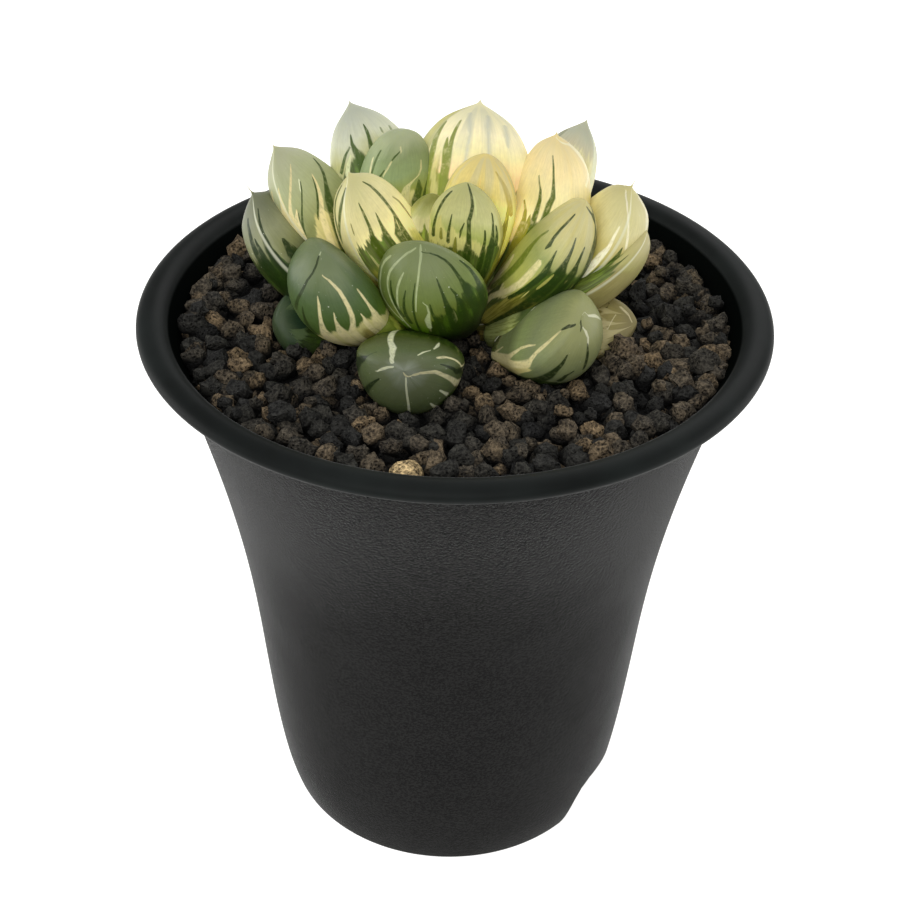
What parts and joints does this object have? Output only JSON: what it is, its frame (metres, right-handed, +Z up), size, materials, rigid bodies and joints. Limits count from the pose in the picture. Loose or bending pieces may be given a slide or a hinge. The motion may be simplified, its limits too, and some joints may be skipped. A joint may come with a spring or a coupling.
{
  "type": "potted succulent",
  "caption": "Tall flared plastic grower's pot filled with dark lava grit, holding a rosette of fat, pointed, variegated succulent leaves. It stands on its foot.",
  "frame": {"origin": "middle of the pot's foot, on the plane it stands on", "axes": "+Z up along the pot's axis, -Y towards the viewer of the picture"},
  "size_m": [0.075, 0.075, 0.0903],
  "materials": {
    "pot_plastic": "black, finely frosted body, smooth satin lip and inside",
    "lava_grit": "porous, rough and dry, dark brown and black",
    "stem": "dull, fibrous, olive",
    "leaf_green": "smooth, waxy, grey green with darker flames and cream lines",
    "leaf_pale": "smooth, waxy, half cream and half green, with a translucent window",
    "leaf_cream": "smooth, waxy, cream with green flames, translucent",
    "leaf_tan": "dull, tan and translucent, an old drying leaf"
  },
  "bodies": {
    "root": {"pot": "pot_plastic", "grit": "lava_grit", "stem": "stem", "leaf_front_centre": "leaf_green", "leaf_left_centre": "leaf_cream", "leaf_heart": "leaf_pale", "leaf_right": "leaf_pale", "leaf_front_left": "leaf_green", "leaf_front_right": "leaf_green", "leaf_front_low": "leaf_green", "leaf_back_centre": "leaf_green", "leaf_heart_back": "leaf_cream", "leaf_back_right": "leaf_cream", "leaf_back_large": "leaf_cream", "leaf_back_left": "leaf_pale", "leaf_left_upper": "leaf_pale", "leaf_left_low": "leaf_pale", "leaf_right_outer": "leaf_cream", "leaf_right_under": "leaf_pale", "leaf_back_right_outer": "leaf_pale", "leaf_right_old": "leaf_tan", "leaf_left_old": "leaf_green", "leaf_right_inner": "leaf_green", "leaf_left_inner": "leaf_green", "leaf_heart_small": "leaf_pale", "leaf_back_side": "leaf_pale", "leaf_back_low": "leaf_green", "leaf_back_low_right": "leaf_green", "leaf_back_low_left": "leaf_green"}
  },
  "joints": []
}
